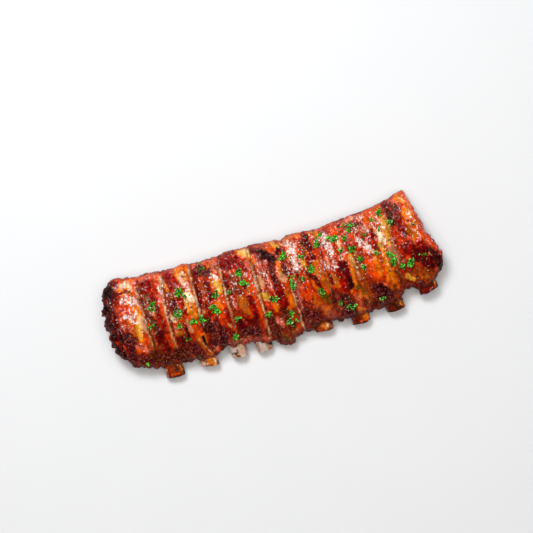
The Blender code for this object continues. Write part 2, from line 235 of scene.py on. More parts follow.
    (32.0, -15.0, 35.0, -23.0, 2.8, "olive", 0.75), (26.0, -18.0, 27.0, -24.0, 2.2, "rust", 0.6),
    (17.0, -30.0, 24.0, -33.0, 4.4, "purple", 0.85), (30.0, -28.0, 38.0, -36.0, 3.4, "rose", 0.5),
    (20.0, -38.0, 28.0, -39.0, 2.2, "umber", 0.7), (30.0, -24.0, 30.6, -34.0, 1.4, "rust", 0.7),
    # eighth rib
    (37.0, 30.0, 40.6, 26.0, 2.0, "orange", 0.9), (36.0, 15.0, 40.0, 6.0, 2.2, "bright", 0.7),
    (44.6, 24.0, 47.6, 10.0, 3.6, "painted_sheen", 1.0), (38.0, 7.0, 44.0, 0.0, 1.5, "painted_sheen", 0.9),
    (44.0, 6.0, 48.0, 0.0, 3.0, "painted_sheen", 0.8), (51.6, 20.0, 52.4, 0.0, 1.6, "red", 0.9),
    (55.6, 15.6, 56.0, 10.0, 1.6, "cream", 0.7), (53.0, 6.0, 53.6, 2.0, 1.7, "painted_sheen", 0.9),
    (49.0, 29.0, 54.0, 24.0, 3.0, "red", 0.7), (57.0, 30.0, 58.0, 26.0, 2.6, "rose", 0.7),
    (44.0, -5.0, 46.0, -15.0, 1.8, "rust", 0.95), (42.0, -4.0, 43.0, -12.0, 1.0, "maroon", 0.9),
    (53.4, 0.0, 56.0, -18.0, 3.4, "maroon", 0.95), (56.0, -13.0, 56.6, -19.0, 1.9, "char", 0.7),
    (49.0, -5.0, 50.0, -18.0, 1.8, "deep", 0.85), (61.0, 4.0, 61.6, -3.0, 2.0, "amber", 0.9),
    (60.0, -4.0, 59.8, -18.0, 1.3, "orange", 0.85), (63.6, -6.0, 64.0, -14.0, 1.8, "tan", 0.7),
    (42.0, -22.0, 50.0, -28.0, 4.4, "purple", 0.6), (43.0, -22.0, 44.0, -32.0, 1.9, "rose", 0.5),
    (47.0, -34.0, 53.0, -39.0, 3.6, "purple", 0.85), (62.0, -20.0, 64.0, -26.0, 2.4, "olive", 0.6),
    (58.0, -26.0, 59.0, -36.0, 2.8, "rose", 0.5), (57.0, -40.0, 60.0, -41.0, 2.4, "rust", 0.7),
    # ninth rib
    (66.0, 32.0, 78.0, 29.6, 2.6, "painted_sheen", 0.8), (70.0, 24.0, 80.0, 20.0, 3.4, "painted_sheen", 0.7),
    (66.0, 27.0, 76.0, 25.6, 1.4, "maroon", 0.7), (70.4, 14.0, 78.0, 2.0, 2.6, "painted_sheen", 1.0),
    (67.0, 14.0, 70.0, -2.0, 1.9, "red", 0.85), (81.4, 18.0, 82.0, 2.0, 1.9, "deep", 0.85),
    (82.4, 33.0, 83.0, 30.0, 1.9, "bright", 0.95), (72.8, -4.0, 78.0, -16.0, 4.4, "bright", 1.0),
    (79.6, -4.0, 80.0, -14.0, 2.4, "orange", 0.85), (87.6, 29.0, 90.0, 19.0, 3.0, "painted_sheen", 0.75),
    (87.0, 16.0, 88.6, 10.0, 2.8, "cream", 1.0), (85.6, 8.0, 87.0, 0.0, 1.8, "amber", 0.9),
    (92.6, 26.0, 92.4, 6.0, 2.0, "amber", 0.85), (95.6, 24.0, 96.0, 4.0, 1.6, "orange", 0.8),
    (86.6, -1.0, 87.0, -20.0, 2.4, "orange", 0.95), (93.0, 2.0, 97.0, -10.0, 3.0, "tan", 0.8),
    (74.0, -25.0, 81.0, -32.0, 5.4, "purple", 0.95), (72.0, -24.0, 82.0, -27.0, 0.8, "char", 0.9),
    (74.0, -33.0, 82.0, -29.0, 0.8, "char", 0.9), (79.0, -21.0, 84.0, -26.0, 0.8, "rose", 0.7), (66.6, -20.0, 68.0, -34.0, 2.2, "rust", 0.7),
    (70.0, -36.0, 80.0, -38.0, 2.8, "umber", 0.6), (88.0, -26.0, 88.6, -35.0, 1.8, "brown", 0.8),
    (92.0, -18.0, 95.0, -26.0, 2.6, "brown", 0.85), (66.0, -4.0, 67.0, -16.0, 1.6, "rust", 0.8),
    # tenth rib
    (98.0, 36.0, 99.6, 20.0, 2.8, "purple", 0.95), (104.0, 31.0, 104.6, 24.0, 3.4, "purple", 0.75),
    (109.0, 38.0, 114.0, 33.0, 3.0, "orange", 0.85), (112.0, 41.0, 116.0, 36.0, 1.8, "bright", 0.9),
    (111.0, 25.6, 114.0, 20.0, 2.8, "orange", 0.85), (104.0, 20.0, 106.0, 8.0, 3.2, "maroon", 0.8),
    (117.4, 34.0, 119.4, 16.0, 1.4, "red", 0.85), (110.0, 11.0, 114.0, 6.0, 2.8, "rust", 0.95),
    (99.6, 14.0, 100.0, -6.0, 2.2, "red", 0.85), (104.0, -3.0, 116.0, -5.0, 4.4, "deep", 0.95),
    (120.0, 4.0, 124.6, -7.0, 2.2, "bright", 0.85), (110.0, -11.0, 118.0, -14.0, 3.4, "char", 0.75),
    (124.0, -12.0, 127.4, -22.0, 3.6, "maroon", 0.9), (99.6, -23.0, 102.6, -26.4, 2.2, "amber", 0.85),
    (104.0, -16.0, 106.0, -20.0, 2.4, "deep", 0.7), (107.0, -22.0, 114.0, -27.0, 3.4, "rust", 0.75),
    (118.0, -22.0, 118.6, -28.0, 1.3, "amber", 0.7), (98.0, -14.0, 104.0, -15.0, 1.8, "umber", 0.7),
    (113.0, -31.0, 117.0, -31.0, 1.8, "purple", 0.6), (112.0, -9.0, 119.0, -19.0, 5.6, "maroon", 0.9),
    (106.0, -20.0, 118.0, -27.0, 3.0, "brown", 0.7), (122.0, -10.0, 128.0, -22.0, 4.0, "char", 0.6),
]

# Chopped parsley: x, y, how many bits, how far they spread, largest size.
PARSLEY = [
    (-96.0, 8.4, 5, 3.4, 3.6), (-100.0, -6.0, 3, 2.6, 2.6), (-73.4, 13.0, 5, 2.4, 4.6), (-70.0, 9.6, 2, 2.0, 2.4),
    (-77.4, -1.5, 6, 3.6, 3.8), (-79.6, -11.5, 3, 2.0, 3.4), (-68.2, -11.2, 4, 1.8, 4.4), (-62.6, -10.6, 4, 1.8, 4.6),
    (-46.6, 4.4, 4, 2.6, 4.0), (-50.8, -5.0, 6, 3.0, 4.4), (-48.6, -8.4, 3, 2.4, 3.4), (-52.6, 24.0, 3, 3.6, 2.0),
    (-40.6, -30.8, 4, 2.0, 4.0), (-35.8, 4.0, 3, 2.4, 3.2), (-34.8, -17.4, 3, 2.0, 3.4), (-25.2, 15.6, 5, 2.4, 3.8),
    (-23.6, 8.0, 4, 3.0, 4.0), (-4.0, -10.6, 3, 1.8, 4.0), (-9.8, -22.4, 3, 1.4, 4.6), (5.2, -25.0, 4, 1.8, 3.6),
    (2.8, -30.6, 4, 1.8, 4.2), (10.8, 17.2, 4, 2.4, 4.0), (13.6, 0.6, 5, 3.2, 3.0), (12.8, -5.6, 5, 3.0, 4.4),
    (24.6, 14.6, 3, 2.2, 3.2), (20.8, -2.6, 4, 2.2, 3.2), (29.2, 2.4, 6, 2.2, 4.6), (32.6, -17.0, 4, 3.4, 2.6),
    (38.8, 19.2, 5, 1.8, 4.6), (42.2, 26.2, 3, 2.0, 2.6), (45.4, -27.6, 3, 2.4, 3.2), (52.4, 21.4, 5, 2.2, 4.4),
    (51.8, -33.4, 4, 1.8, 4.4), (55.2, 10.4, 3, 2.4, 2.6), (63.8, 9.0, 5, 2.2, 4.4), (60.0, 18.0, 3, 2.6, 2.6),
    (65.6, 23.8, 3, 1.6, 3.0), (69.0, 27.0, 4, 2.4, 3.6), (62.0, 29.0, 2, 2.4, 2.2), (68.2, 0.2, 4, 1.4, 3.8),
    (69.2, -6.8, 3, 1.0, 3.4), (80.8, 1.4, 3, 1.2, 3.0), (76.6, 16.6, 2, 2.0, 2.4), (91.2, 30.4, 5, 1.8, 3.8),
    (84.8, 26.2, 2, 1.2, 2.6), (98.2, 21.2, 4, 1.8, 3.2), (90.6, -3.4, 4, 1.6, 4.6), (91.8, -9.0, 5, 2.0, 4.6),
    (98.0, -14.2, 4, 1.8, 3.6), (104.2, -13.8, 5, 2.4, 4.0), (113.8, 13.8, 2, 1.8, 2.4), (87.6, 18.2, 3, 2.4, 2.0),
    (115.0, -10.0, 3, 2.6, 2.0), (77.0, -34.4, 2, 1.2, 3.0), (-110.6, -33.0, 3, 2.4, 2.4), (-90.0, -44.4, 2, 1.4, 2.2),
    (-72.0, -41.4, 2, 1.0, 3.4), (-75.4, -23.4, 3, 1.6, 2.6), (6.0, -33.0, 3, 3.6, 2.2), (-52.0, 29.6, 2, 2.4, 2.0),
]


# ---- numbers spread over space ----

def eased(share):
    share = np.clip(share, 0.0, 1.0)
    return share * share * (3.0 - 2.0 * share)


def ramp(low, high, value):
    return eased((value - low) / (high - low))


def curve(points, at):
    """The value at a place along (place, value) points."""
    places, values = zip(*points)
    return np.interp(at, places, values)


def scattered(cells, seed):
    """A number from -1 to 1 for each cell of whole numbers, always the same for the same seed."""
    mask = np.int64(0xFFFFFFFF)
    h = (cells[..., 0] * 73856093) ^ (cells[..., 1] * 19349663) ^ (cells[..., 2] * 83492791) ^ (seed * 6542989 + 12345)
    h = (h & mask) * 1274126177 & mask
    h = (h ^ (h >> 15)) * 2246822519 & mask
    h = h ^ (h >> 13)
    return (h & 0xFFFFF) / 524287.5 - 1.0


def noise(points, size, seed):
    """Smooth noise from about -1 to 1 whose lumps are as large as size, which may differ by axis."""
    at = points / np.asarray(size, float)
    low = np.floor(at).astype(np.int64)
    part = at - low
    part = part * part * part * (part * (part * 6.0 - 15.0) + 10.0)
    total = np.zeros(len(points))
    for corner in range(8):
        step = np.array([corner & 1, corner >> 1 & 1, corner >> 2 & 1])
        weight = np.prod(np.where(step == 1, part, 1.0 - part), axis=1)
        total += weight * scattered(low + step, seed)
    return total


def layered(points, size, seed, layers=3):
    total = np.zeros(len(points))
    for layer in range(layers):
        total += noise(points, np.asarray(size, float) / 2.0**layer, seed + 17 * layer) / 1.8**layer
    return total


def lumps(points, size, seed):
    """Round lumps packed side by side: 1 at the middle of a lump, 0 in the creases."""
    at = points / size
    low = np.floor(at).astype(np.int64)
    nearest = np.full(len(points), 9.0)
    for x in (-1, 0, 1):
        for y in (-1, 0, 1):
            for z in (-1, 0, 1):
                cell = low + np.array([x, y, z])
                jitter = np.stack([scattered(cell, seed + k) for k in range(3)], axis=1) * 0.42 + 0.5
                nearest = np.minimum(nearest, np.sum((cell + jitter - at) ** 2, axis=1))
    return np.clip(1.0 - nearest / 0.55, 0.0, 1.0)


def linear(encoded):
    """Screen values, which colours are mixed in, as light."""
    encoded = np.clip(encoded, 0.0, 1.0)
    return np.where(encoded <= 0.04045, encoded / 12.92, ((encoded + 0.055) / 1.055) ** 2.4)


INK = {name: np.array([int(code[k:k + 2], 16) / 255.0 for k in (0, 2, 4)]) for name, code in PALETTE.items()}


# ---- the slab of meat ----

def arch_height(y):
    return ARCH_TOP_Z - (y - ARCH_TOP_Y) ** 2 / (2.0 * ARCH_RADIUS)


def bone_x(rib, y):
    front_x, back_x = RIBS[rib][:2]
    return front_x + (back_x - front_x) * (y - FRONT_Y) / (BACK_Y - FRONT_Y)


def seam_x(seam, y):
    return np.interp(y, SEAM_Y, SEAMS[seam][:4])


def rounded(distance, radius=EDGE_RADIUS):
    inside = 1.0 - np.clip(distance / radius, 0.0, 1.0)
    return (1.0 - inside**EDGE_SQUARENESS) ** (1.0 / EDGE_SQUARENESS)


def stations(length, radius, spacing):
    """Shares of a length, close together where the surface turns over a rounded edge."""
    turn = np.linspace(0.0, math.pi / 2.0, 12)[:-1]
    edge = radius * (1.0 - np.cos(turn))
    middle = np.linspace(radius, length - radius, int((length - 2.0 * radius) / spacing))
    return np.concatenate([edge, middle, (length - edge)[::-1]]) / length


def rib_fields(x, y):
    """For each point: which rib it belongs to, its share of the way across it, and the nearest seam's distance."""
    seams = np.stack([seam_x(k, y) for k in range(len(SEAMS))])
    edges = np.concatenate([np.full((1, len(x)), -135.0), seams, (y * -0.11 + 122.0)[None]])
    rib = np.sum(x > seams, axis=0)
    left = np.take_along_axis(edges, rib[None], axis=0)[0]
    right = np.take_along_axis(edges, rib[None] + 1, axis=0)[0]
    share = np.clip((x - left) / (right - left), 0.0, 1.0)
    offset = x - seams
    nearest = np.argmin(np.abs(offset), axis=0)
    return rib, share, nearest, np.take_along_axis(offset, nearest[None], axis=0)[0]


SWELL = np.array([0.8, -0.6, 0.0, 0.5, -0.3, 0.9, 0.3, 0.6, -0.4, 0.7])
RIB_RELIEF = [
    (0.0, -1.3), (0.06, -1.5), (0.16, -0.4), (0.3, 1.1), (0.45, 1.4), (0.58, 0.5), (0.66, -0.1), (0.8, 0.5),
    (0.93, 0.2), (1.0, -1.2),
]


def slab_grid():
    """Plan place and height of the upper and lower sheets, on one grid of stations."""
    along = stations(264.0, EDGE_RADIUS, 0.74)
    across = stations(75.0, EDGE_RADIUS, 0.74)
    s, v = np.meshgrid(along, across, indexing="ij")
    shape = s.shape
    s, v = s.ravel(), v.ravel()
    left, right = curve(LEFT_END, v), curve(RIGHT_END, v)
    x = left + (right - left) * s
    front, back = curve(FRONT_EDGE, x), curve(BACK_EDGE, x)
    y = front + (back - front) * v
    rim = rounded(y - front) * rounded(back - y) * rounded(x - left) * rounded(right - x)
    rib, share, _, _ = rib_fields(x, y)
    cover = curve(TOP_COVER, v) + (SWELL[rib] * np.sin(math.pi * share) + curve(RIB_RELIEF, share)) * 0.9
    middle = arch_height(y)
    top = middle + cover * rim
    under_bone = np.max([1.0 - np.abs(x - bone_x(k, y)) / 10.5 for k in range(len(RIBS))], axis=0)
    under = curve(UNDER_COVER, v) + 2.4 * eased(under_bone)
    bottom = np.maximum(0.0, middle - under * rim)
    return shape, x, y, v, top, bottom


def slab_mesh():
    """The slab as one closed mesh, and for each vertex its share from front to back and whether it is on top."""
    shape, x, y, v, top, bottom = slab_grid()
    columns, rows = shape
    number = np.arange(columns * rows).reshape(shape)
    inner = np.zeros(shape, bool)
    inner[1:-1, 1:-1] = True
    lower = number.copy()
    lower[inner] = columns * rows + np.arange(inner.sum())
    upper_points = np.stack([x, y, top], axis=1)
    lower_points = np.stack([x, y, bottom], axis=1)[inner.ravel()]
    points = np.concatenate([upper_points, lower_points])

    def quads(ids, flip):
        a, b, c, d = ids[:-1, :-1], ids[1:, :-1], ids[1:, 1:], ids[:-1, 1:]
        order = (a, d, c, b) if flip else (a, b, c, d)
        return np.stack([corner.ravel() for corner in order], axis=1)

    faces = np.concatenate([quads(number, False), quads(lower, True)])
    share = np.concatenate([v, v[inner.ravel()]])
    on_top = np.concatenate([np.ones(columns * rows), np.zeros(inner.sum())])
    return points, faces, share, on_top


def mesh_object(name, points, faces, smooth=True):
    """A mesh from points in plan millimetres."""
    mesh = bpy.data.meshes.new(name)
    shift = np.array([*PLAN_TO_FRAME, 0.0])
    mesh.from_pydata(((points + shift) * MM).tolist(), [], faces.tolist() if hasattr(faces, "tolist") else faces)
    mesh.polygons.foreach_set("use_smooth", [smooth] * len(mesh.polygons))
    mesh.update()
    made = bpy.data.objects.new(name, mesh)
    bpy.context.scene.collection.objects.link(made)
    return made


def set_points(made, points):
    shift = np.array([*PLAN_TO_FRAME, 0.0])
    made.data.vertices.foreach_set("co", ((points + shift) * MM).ravel())
    made.data.update()


def normals_of(made):
    values = np.zeros(len(made.data.vertices) * 3)
    made.data.vertex_normals.foreach_get("vector", values)
    return values.reshape(-1, 3)


def add_colour(made, name, rgb):
    layer = made.data.color_attributes.new(name=name, type="FLOAT_COLOR", domain="POINT")
    layer.data.foreach_set("color", np.column_stack([linear(rgb), np.ones(len(rgb))]).ravel())


def add_number(made, name, values):
    layer = made.data.attributes.new(name=name, type="FLOAT", domain="POINT")
    layer.data.foreach_set("value", np.asarray(values, float))


def flecked(colour, points, rough):
    """Dark flecks, reddish lumps and flecks of fat, as on a roasted surface."""
    colour = mixed(colour, "maroon", ramp(0.05, 0.55, layered(points, (2.6, 4.6, 2.6), 31)) * 0.4 * rough)
    colour = mixed(colour, "orange", ramp(0.3, 0.8, layered(points, (2.6, 5.4, 2.6), 27)) * 0.35 * rough)
    return mixed(colour, "rose", ramp(0.35, 0.9, layered(points, 3.2, 39)) * 0.25)


def streak_weights(streaks, at, wobble):
    """How strongly each browning streak covers each point, and the streak's colour."""
    for x0, y0, x1, y1, half_width, ink, strength in streaks:
        along = np.array([x1 - x0, y1 - y0])
        start = at[:, :2] - (x0, y0)
        share = np.clip(start @ along / (along @ along), 0.0, 1.0)
        near = np.linalg.norm(start - share[:, None] * along, axis=1) / half_width + wobble
        yield strength * (1.0 - ramp(0.65, 1.2, near)), ink


def mixed(colour, ink, weight):
    return colour + (INK[ink] - colour) * np.clip(weight, 0.0, 1.0)[:, None]


DEEPEN = np.array([0.08, 0.08, 0.06])  # how much red, green and blue the darkest browning loses
DEEPEN_BELOW = np.array([0.65, 0.45, 0.3])


def meat_looks(points, share, on_top):
    """Colour of each point of the meat, with painted sheen, light and shade in it, and where it is smooth, charred, or
    wet with glaze and so dotted with painted glints.
    """
    x, y = points[:, 0], points[:, 1]
    rib, across, seam, off_seam = rib_fields(x, y)
    warp = np.stack([layered(points, 6.0, 3) * 0.7, layered(points, 6.0, 5) * 1.3, np.zeros(len(x))], axis=1)
    at = points + warp
    wobble = layered(points, 2.6, 9) * 0.34
    band = ramp(0.5, 0.62, across) * (1.0 - ramp(0.94, 1.0, across))

    colour = np.tile(INK["red"], (len(x), 1))
    # pinker towards the back: partly the meat's own tone, partly painted sheen where the slab faces the light
    colour = mixed(colour, "rose", ramp(14.0, 34.0, at[:, 1]) * 0.7)
    # darker towards the front: partly a darker crust, partly painted shade where the slab turns away from the light
    front_crust_and_shade = 1.0 - ramp(-34.0, -14.0, at[:, 1])
    colour = mixed(colour, "umber", front_crust_and_shade * 0.7)
    colour = mixed(colour, "bright", band * ramp(-30.0, -18.0, at[:, 1]) * 0.75)
    colour = mixed(colour, "orange", band * ramp(0.1, 0.5, layered(points, (5.0, 9.0, 5.0), 21)) * 0.7)
    smooth = band * 0.7
    # glaze: where the coat shines, and how densely glints are painted on
    glaze_and_glints = 0.25 + 0.32 * ramp(-26.0, 4.0, y)
    char = front_crust_and_shade * 0.25
    colour = flecked(colour, points, (1.0 - 0.6 * smooth))
    streaks = ramp(-0.5, 0.3, layered(points, (1.8, 5.5, 1.8), 25))
    for weight, ink in streak_weights(STREAKS, at, wobble):
        # painted sheen streaks stand in for highlights and also raise the glaze
        if ink == "painted_sheen":
            glaze_and_glints = np.maximum(glaze_and_glints, weight)
            weight = weight * (0.2 + 0.5 * streaks)
        colour = mixed(colour, ink, weight)
        smooth = smooth * (1.0 - weight)
        if ink in ("bright", "amber", "cream", "orange", "rust", "tan"):
            smooth = smooth + weight * 0.8
        if ink in ("cream", "rose"):
            glaze_and_glints = np.maximum(glaze_and_glints, weight * 0.6)
        if ink in ("char", "purple", "umber"):
            char = np.maximum(char, weight * (1.0 if ink == "char" else 0.4))
            glaze_and_glints = glaze_and_glints * (1.0 - 0.6 * weight)
        if ink in ("red", "deep", "maroon"):
            glaze_and_glints = glaze_and_glints * (1.0 - 0.35 * weight)

    # mottling on top of the patches: dark creases, a few flecks of fat, uneven brightness, and painted light that makes
    # the meat lighter towards the back
    rough = 1.0 - 0.7 * smooth
    colour = mixed(colour, "char", ramp(0.3, 0.9, layered(points, (2.0, 4.0, 2.0), 33)) * 0.32 * rough)
    colour = mixed(colour, "red", ramp(0.4, 0.9, layered(points, (1.8, 3.6, 1.8), 35)) * 0.3 * rough)
    colour = mixed(colour, "orange", ramp(0.5, 0.95, layered(points, (1.6, 3.4, 1.6), 37)) * 0.25 * rough)
    shade = 0.18 * noise(points, (1.2, 3.4, 1.2), 41) + 0.21 * noise(points, (2.8, 5.0, 2.8), 43)
    # painted light: up to 7 per cent lighter towards the back
    colour = colour * (1.0 + shade * (1.0 - 0.3 * smooth) + 0.07 * ramp(0.0, 25.0, y))[:, None]

    # seams of pale tissue
    seam_rows = np.array([row[4:] for row in SEAMS])
    low, high, strength = (seam_rows[seam, k] for k in range(3))
    offset = off_seam + layered(points, (6.0, 7.0, 6.0), 47) * 0.5
    shown = ramp(low - 5.0, low + 4.0, y) * (1.0 - ramp(high - 4.0, high + 5.0, y)) * strength
    shown = shown * (0.85 + 0.4 * noise(points, (3.0, 4.0, 3.0), 49))
    line = np.exp(-(offset / 0.8) ** 2) * shown
    beside = np.exp(-((offset - 1.7) / 1.0) ** 2) * (0.3 + 0.5 * shown)
    colour = mixed(colour, "umber", beside * 0.8)
    colour = mixed(colour, "tan", line * 1.1)
    colour = mixed(colour, "cream", line * ramp(0.0, 0.6, noise(points, 2.4, 51) + line) * 0.9)

    # crust round the charred end, with a dark fold inside it, and a browner front rim
    crust_x = x + noise(points, 5.0, 53) * 1.6
    end = 1.0 - ramp(-128.5, -125.5, crust_x)
    colour = mixed(colour, "maroon", end)
    colour = mixed(colour, "char", end * ramp(-0.5, 0.3, layered(points, 3.6, 57)) * 0.95)
    colour = mixed(colour, "red", end * ramp(0.25, 0.8, layered(points, 2.8, 58)) * 0.8)
    colour = mixed(colour, "char", np.exp(-((crust_x + 126.0) / 0.9) ** 2) * 0.8)
    char = np.maximum(char, end * 0.6)
    glaze_and_glints = glaze_and_glints * (1.0 - 0.8 * end)
    front = 1.0 - ramp(0.0, 0.05, share + noise(points, 3.0, 59) * 0.012)
    colour = mixed(colour, "maroon", front * 0.5 * on_top)
    back = ramp(0.955, 1.0, share)
    colour = mixed(colour, "rose", back * 0.5)
    wall = ramp(0.985, 0.998, share) * (1.0 - ramp(10.0, 18.0, points[:, 2]))
    colour = mixed(colour, "brown", wall * 0.75)
    colour = mixed(colour, "tan", wall * ramp(0.1, 0.8, layered(points, (9.0, 9.0, 2.0), 68)) * 0.6)
    colour = mixed(colour, "maroon", wall * ramp(0.1, 0.7, layered(points, (7.0, 7.0, 2.4), 69)) * 0.7)

    # the underside: membrane over the bones, browner meat between them
    under = 1.0 - on_top
    over_bone = np.max([1.0 - np.abs(x - bone_x(k, y)) / 8.5 for k in range(len(RIBS))], axis=0)
    belly = np.tile(INK["brown"] * 0.95, (len(x), 1))
    belly = mixed(belly, "rose", ramp(-0.3, 0.6, layered(points, 8.0, 61)) * 0.6)
    belly = mixed(belly, "tan", eased(over_bone) * 0.85)
    belly = mixed(belly, "cream", ramp(0.35, 0.9, over_bone + 0.4 * layered(points, (4.0, 9.0, 4.0), 63)) * 0.35)
    belly = mixed(belly, "umber", ramp(0.1, 0.8, layered(points, 3.0, 65)) * 0.5)
    belly = belly * (1.0 + 0.12 * noise(points, 1.4, 67))[:, None]
    inward = ramp(0.02, 0.09, np.minimum(share, 1.0 - share)) * under
    colour = colour + (belly - colour) * inward[:, None]
    smooth = smooth * (1.0 - inward) + 0.5 * inward
    rim = np.minimum(share, 1.0 - share)
    glaze_and_glints = glaze_and_glints * ramp(0.0, 0.05, rim) * (1.0 - 0.7 * under)
    colour -= DEEPEN * np.clip(1.0 - colour / DEEPEN_BELOW, 0.0, 1.0)
    return np.clip(colour, 0.0, 1.0), smooth, np.clip(char, 0.0, 1.0), glaze_and_glints


def relief(points, share, on_top, smooth, char):
    """How far each point stands out from the plain slab."""
    x, y = points[:, 0], points[:, 1]
    _, _, seam, off_seam = rib_fields(x, y)
    rough = 1.0 - 0.75 * smooth
    out = layered(points, (11.0, 15.0, 11.0), 71, 2) * 0.55
    out += layered(points, (4.4, 6.0, 4.4), 73, 2) * 0.5 * (0.35 + 0.65 * rough)
    out += (lumps(points, 4.4, 75) - 0.45) * 1.1 * rough
    out += (lumps(points, 2.8, 76) - 0.45) * 0.6 * rough
    out += noise(points, 1.9, 77) * 0.25 * rough
    out += noise(points, (1.6, 4.0, 1.6), 78) * 0.12
    strength = np.array([row[6] for row in SEAMS])[seam]
    out -= np.exp(-((off_seam - 0.5) / 1.1) ** 2) * (0.5 + 0.7 * strength) * on_top
    out += np.exp(-((off_seam + 0.6) / 0.6) ** 2) * 0.35 * strength * on_top
    end = 1.0 - ramp(-129.0, -125.0, x)
    out += end * ((lumps(points, 6.4, 81) - 0.35) * 2.6 + (lumps(points, 3.0, 82) - 0.4) * 1.2 + noise(points, 2.0, 83) * 0.4)
    out -= np.exp(-((x + noise(points, 5.0, 53) * 1.6 + 125.6) / 1.2) ** 2) * 1.3 * on_top
    front = 1.0 - ramp(0.0, 0.12, share)
    out += front * ((lumps(points, 5.0, 85) - 0.4) * 1.5 + (lumps(points, 2.6, 86) - 0.4) * 0.5 + noise(points, 1.8, 87) * 0.4)
    out += char * (lumps(points, 2.6, 89) - 0.4) * 0.5
    under = 1.0 - on_top
    return np.where(under > 0.5, out * 0.45, out)


def make_meat():
    points, faces, share, on_top = slab_mesh()
    meat = mesh_object("meat_crust", points, faces)
    _, smooth, char, _ = meat_looks(points, share, on_top)
    moved = points + normals_of(meat) * relief(points, share, on_top, smooth, char)[:, None]
    moved[:, 2] = np.maximum(moved[:, 2], 0.0)
    set_points(meat, moved)
    colour, smooth, char, glaze_and_glints = meat_looks(points, share, on_top)
    add_colour(meat, "tint", colour)
    add_number(meat, "smooth", smooth)
    add_number(meat, "char", char)
    add_number(meat, "glaze_and_glints", glaze_and_glints)
    return meat


# ---- bones ----

def bone_section(rib, y):
    flare = eased(np.clip((RIBS[rib][2] + STUB_LENGTH - y) / STUB_LENGTH, 0.0, 1.0))
    half_width = BONE_HALF_WIDTH + (RIBS[rib][3] - BONE_HALF_WIDTH) * flare
    half_height = BONE_HALF_HEIGHT + (STUB_HALF_HEIGHT - BONE_HALF_HEIGHT) * flare
    return half_width, half_height


# Each stub: its colour, how dark its sawn rim is, how far its end slants, and how much it is mottled.
STUB_LOOKS = [
    # stubs 4 and 5 are pale bone with painted shade
    ("umber", 0.8, 0.0, 1.0), ("brown", 1.0, 0.0, 1.0), ("tan", 0.15, 1.5, 0.6), ("pale", 0.0, 0.6, 0.12),
    ("pale", 0.0, -0.3, 0.12), ("brown", 0.6, 0.4, 1.0), ("brown", 0.35, 0.2, 0.9), ("brown", 0.8, -0.1, 0.9),
    ("umber", 1.0, -0.4, 0.9), ("maroon", 1.0, -1.8, 0.9),
]
# Browning of the stubs, with a patch of painted sheen, written as the meat's streaks are.
STUB_STREAKS = [
    (-99.6, -40.0, -99.4, -47.0, 1.3, "tan", 0.85), (-97.0, -46.6, -91.0, -46.6, 1.3, "bright", 0.8),
    (-91.5, -41.0, -91.5, -44.0, 1.6, "umber", 0.6), (-88.2, -40.0, -88.0, -45.0, 1.2, "orange", 0.7),
    (-96.8, -40.0, -96.0, -44.0, 1.9, "red", 0.7), (-86.6, -46.0, -86.6, -47.4, 1.2, "char", 0.9),
    (-44.6, -43.6, -42.4, -45.2, 0.8, "char", 0.9), (-42.6, -41.6, -42.2, -44.6, 0.6, "char", 0.9),
    (-43.8, -45.4, -41.8, -47.6, 1.0, "brown", 0.9), (-39.0, -39.0, -39.6, -44.0, 2.2, "tan", 0.5),
    (-47.6, -43.8, -45.0, -44.2, 0.7, "olive", 0.8), (-17.4, -42.6, -15.6, -44.4, 1.3, "char", 0.9),
    (-18.4, -43.0, -17.4, -47.6, 1.6, "brown", 0.5), (-26.0, -42.0, -26.0, -47.0, 1.2, "brown", 0.35),
    (-65.0, -41.0, -63.8, -47.0, 2.3, "orange", 0.95), (-62.8, -37.0, -60.6, -48.0, 0.7, "cream", 1.0),
    # painted sheen on the end of the third stub
    (-70.4, -45.0, -68.4, -46.4, 2.0, "painted_sheen", 0.7), (-71.4, -41.0, -69.6, -42.0, 1.8, "umber", 0.6),
    (-69.0, -40.6, -65.6, -41.0, 1.4, "rose", 0.7), (-59.4, -45.6, -59.2, -49.0, 0.9, "brown", 0.9),
    (29.0, -42.6, 32.6, -44.0, 2.2, "cream", 0.7), (26.6, -42.0, 28.0, -44.0, 2.0, "orange", 0.8),
    (22.6, -43.6, 24.4, -45.4, 2.0, "red", 0.85), (31.6, -46.0, 33.4, -46.0, 1.1, "red", 0.8),
    (20.8, -45.0, 20.8, -47.0, 1.3, "char", 0.95),
    (50.0, -42.0, 53.6, -46.0, 3.0, "maroon", 0.85), (55.6, -47.0, 61.0, -46.6, 1.2, "bright", 0.95),
    (59.6, -41.6, 61.0, -45.0, 2.2, "orange", 0.85), (62.4, -41.0, 62.2, -43.6, 1.0, "amber", 0.5),
    (79.6, -41.0, 80.6, -46.0, 2.6, "maroon", 0.7), (84.4, -41.6, 84.4, -43.6, 2.0, "char", 0.5),
    (89.6, -37.0, 89.4, -42.0, 1.4, "amber", 0.85), (90.8, -41.6, 90.6, -43.6, 1.0, "bright", 0.85),
    (86.8, -38.0, 86.8, -41.0, 1.3, "olive", 0.6),
    (108.6, -36.0, 111.0, -38.0, 2.6, "deep", 0.6), (118.6, -28.0, 119.2, -35.0, 1.1, "amber", 0.95),
    (114.0, -37.2, 118.0, -36.6, 1.0, "red", 0.8), (110.6, -33.6, 114.4, -33.6, 1.8, "brown", 0.7),
    (120.6, -35.6, 120.8, -36.4, 1.2, "char", 0.7),
]


